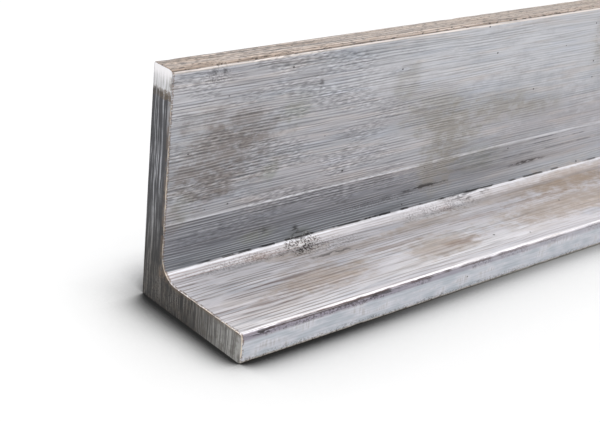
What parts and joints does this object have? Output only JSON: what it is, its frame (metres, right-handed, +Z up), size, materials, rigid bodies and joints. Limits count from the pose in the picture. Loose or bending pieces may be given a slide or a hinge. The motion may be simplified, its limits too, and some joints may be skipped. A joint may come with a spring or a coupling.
{
  "type": "aluminium angle bar",
  "caption": "Straight length of extruded unequal-leg angle, lying on its short leg with the long leg upright; joins, edges or stiffens panels and frames.",
  "frame": {"origin": "middle of the length and of the short leg's width, on the underside", "axes": "+X along the bar, +Y out of the long leg's outer face, +Z up the long leg"},
  "size_m": [0.9144, 0.0508, 0.0762],
  "materials": {
    "aluminium": "mill finish with drawing lines along the bar, stained and scuffed; saw-cut ends"
  },
  "bodies": {
    "root": {"angle_bar": "aluminium"}
  },
  "joints": []
}
